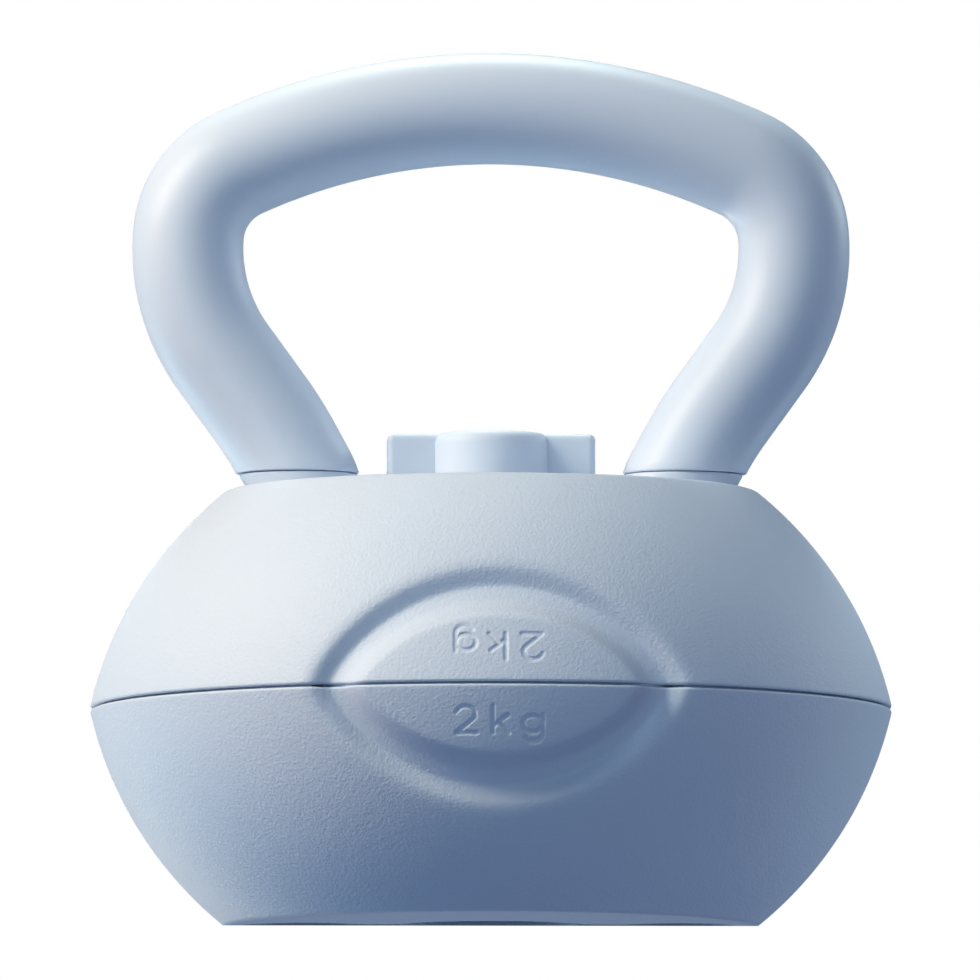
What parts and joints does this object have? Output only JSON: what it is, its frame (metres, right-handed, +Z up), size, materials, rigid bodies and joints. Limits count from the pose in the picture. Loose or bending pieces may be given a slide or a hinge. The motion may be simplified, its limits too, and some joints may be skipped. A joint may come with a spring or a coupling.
{
  "type": "adjustable kettlebell",
  "caption": "Clamp-together kettlebell: equal filled bowls mated at a seam, bent tube handle, and a wing nut on a central rod.",
  "frame": {"origin": "centre of the flat base that the kettlebell stands on", "axes": "+Z up through the rod and the handle's crown, -Y towards the front badge, +X along the handle"},
  "size_m": [0.2002, 0.2001, 0.219],
  "materials": {
    "shell_plastic": "matte",
    "handle_plastic": "satin",
    "nut_plastic": "satin",
    "lid_plastic": "matte",
    "base_plastic": "matte",
    "plate_plastic": "matte",
    "cement_fill": "matte",
    "zinc_steel": "satin",
    "tube_steel": "satin",
    "insert_brass": "satin",
    "soft_washer": "matte"
  },
  "bodies": {
    "kettlebell_body": {"lower_shell": "shell_plastic", "upper_shell": "shell_plastic", "lower_fill": "cement_fill", "upper_fill": "cement_fill", "lower_lid": "lid_plastic", "upper_lid": "lid_plastic", "lower_lid_screws": "zinc_steel", "upper_lid_screws": "zinc_steel", "clamp_plate": "plate_plastic", "clamp_rod": "zinc_steel", "rod_washer": "zinc_steel", "rod_nut": "zinc_steel", "handle_base": "base_plastic", "handle_core": "tube_steel", "handle_grip": "handle_plastic", "foot_collar_left": "handle_plastic", "foot_collar_right": "handle_plastic", "foot_stud_left": "zinc_steel", "foot_stud_right": "zinc_steel", "handle_washers": "zinc_steel", "handle_nuts": "zinc_steel", "friction_washer": "soft_washer"},
    "captive_washer": {"pressure_washer": "zinc_steel"},
    "wing_nut_assembly": {"wing_nut": "nut_plastic", "wing_nut_insert": "insert_brass", "wing_nut_cap": "nut_plastic"}
  },
  "joints": [
    {"name": "nut_rise", "type": "slide", "parent": "kettlebell_body", "child": "captive_washer", "axis": [0, 0, 1], "range_m": [0, 0.0123]},
    {"name": "nut_turn", "type": "hinge", "parent": "captive_washer", "child": "wing_nut_assembly", "pos_m": [0, 0, 0.1165], "axis": [0, 0, 1], "range_deg": [0, 2520]}
  ],
  "couplings": [
    {"joint": "nut_rise", "follows": "nut_turn", "m_per_rad": 0.00027852}
  ]
}
